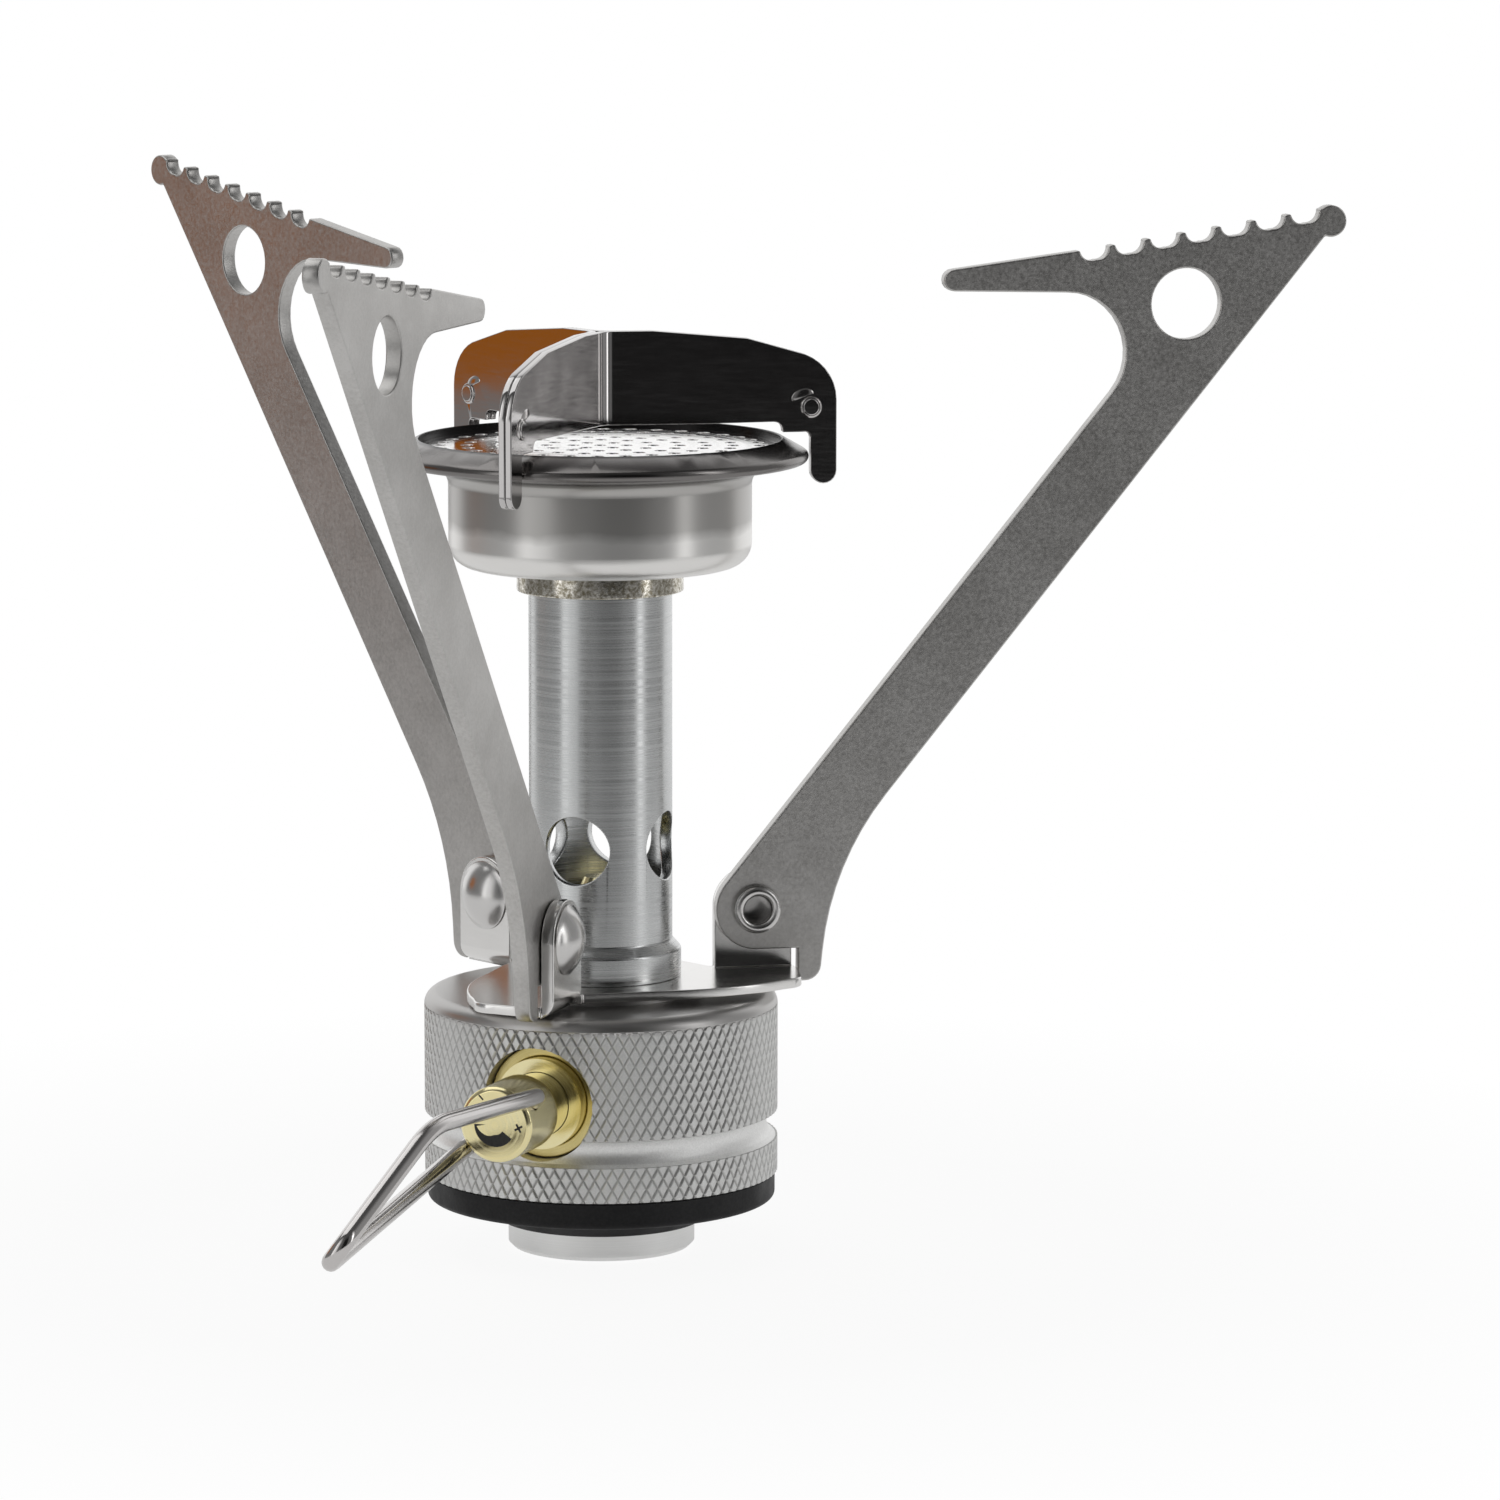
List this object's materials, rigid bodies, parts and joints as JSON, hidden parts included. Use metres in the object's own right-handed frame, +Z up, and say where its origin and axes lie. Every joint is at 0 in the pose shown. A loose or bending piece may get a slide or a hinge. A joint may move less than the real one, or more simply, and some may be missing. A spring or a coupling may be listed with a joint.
{
  "type": "canister-top camping stove",
  "caption": "Folding canister-top gas stove with flared toothed pot supports, perforated burner, three-winged wind clip and a wire valve handle.",
  "frame": {"origin": "centre of the canister thread at the mouth of the collar", "axes": "+Z up along the canister thread's axis, through the mixing tube and the burner; the valve spindle points 110.5 degrees clockwise from +X, seen from above, and the first pot support 11.2 degrees anticlockwise from +X"},
  "size_m": [0.1125, 0.1154, 0.0963],
  "materials": {
    "collar_aluminium": "machined, bright",
    "pad_rubber": "matt, moulded",
    "housing_aluminium": "bead blasted, with diamond knurling",
    "brass": "machined",
    "spindle_brass": "machined, pale, with black marks on its face",
    "bronze": "sintered, speckled",
    "seal_rubber": "smooth",
    "wire_steel": "polished",
    "plate_steel": "tumbled, dull",
    "arm_steel": "tumbled, faintly warm",
    "rivet_steel": "polished",
    "tube_chrome": "polished, with fine turning lines",
    "cup_steel": "spun, satin",
    "burner_steel": "satin",
    "clip_steel": "polished, with a faint heat tint"
  },
  "bodies": {
    "stove": {"canister_collar": "collar_aluminium", "base_pad": "pad_rubber", "valve_housing": "housing_aluminium", "valve_body": "brass", "valve_sleeve": "brass", "canister_seal": "seal_rubber", "depressor_pin": "brass", "inlet_filter": "bronze", "jet_nozzle": "brass", "spindle_gland": "brass", "support_plate": "plate_steel", "mixing_tube": "tube_chrome", "tube_ring": "bronze", "burner_cup": "cup_steel", "burner_plate": "burner_steel", "pivot_rivet_1": "rivet_steel", "pivot_rivet_2": "rivet_steel", "pivot_rivet_3": "rivet_steel"},
    "pot_support_arm_1": {"pot_support_1": "arm_steel"},
    "pot_support_arm_2": {"pot_support_2": "arm_steel"},
    "pot_support_arm_3": {"pot_support_3": "arm_steel"},
    "wind_clip": {"clip_sheet_1": "clip_steel", "clip_sheet_2": "clip_steel", "clip_sheet_3": "clip_steel", "clip_button_1": "clip_steel", "clip_button_2": "clip_steel", "clip_button_3": "clip_steel"},
    "spindle_seal": {"spindle_o_ring": "seal_rubber"},
    "spindle": {"control_spindle": "spindle_brass"},
    "handle": {"wire_handle": "wire_steel"}
  },
  "joints": [
    {"name": "pot_support_1_fold", "type": "hinge", "parent": "stove", "child": "pot_support_arm_1", "pos_m": [0.01403, 0.00278, 0.0306], "axis": [0.1942, -0.981, 0], "range_deg": [0, 21]},
    {"name": "pot_support_2_fold", "type": "hinge", "parent": "stove", "child": "pot_support_arm_2", "pos_m": [-0.00942, 0.01076, 0.0306], "axis": [0.7524, 0.6587, 0], "range_deg": [-2.4, 18.6]},
    {"name": "pot_support_3_fold", "type": "hinge", "parent": "stove", "child": "pot_support_arm_3", "pos_m": [-0.00461, -0.01354, 0.0306], "axis": [-0.9466, 0.3223, 0], "range_deg": [-1, 20]},
    {"name": "wind_clip_turn", "type": "hinge", "parent": "stove", "child": "wind_clip", "pos_m": [0, 0, 0.074], "axis": [0, 0, 1], "range_deg": [-60, 60]},
    {"name": "spindle_travel", "type": "slide", "parent": "stove", "child": "spindle_seal", "axis": [-0.3502, -0.9367, 0], "range_m": [0, 0.0018]},
    {"name": "spindle_turn", "type": "hinge", "parent": "spindle_seal", "child": "spindle", "pos_m": [-0.007, -0.01873, 0.0157], "axis": [-0.3502, -0.9367, 0], "range_deg": [0, 810]},
    {"name": "handle_fold", "type": "hinge", "parent": "spindle", "child": "handle", "pos_m": [-0.00816, -0.02182, 0.0157], "axis": [0.7578, -0.2833, 0.5878], "range_deg": [-60, 50]}
  ],
  "couplings": [
    {"joint": "spindle_travel", "follows": "spindle_turn", "m_per_rad": 0.00012732}
  ]
}
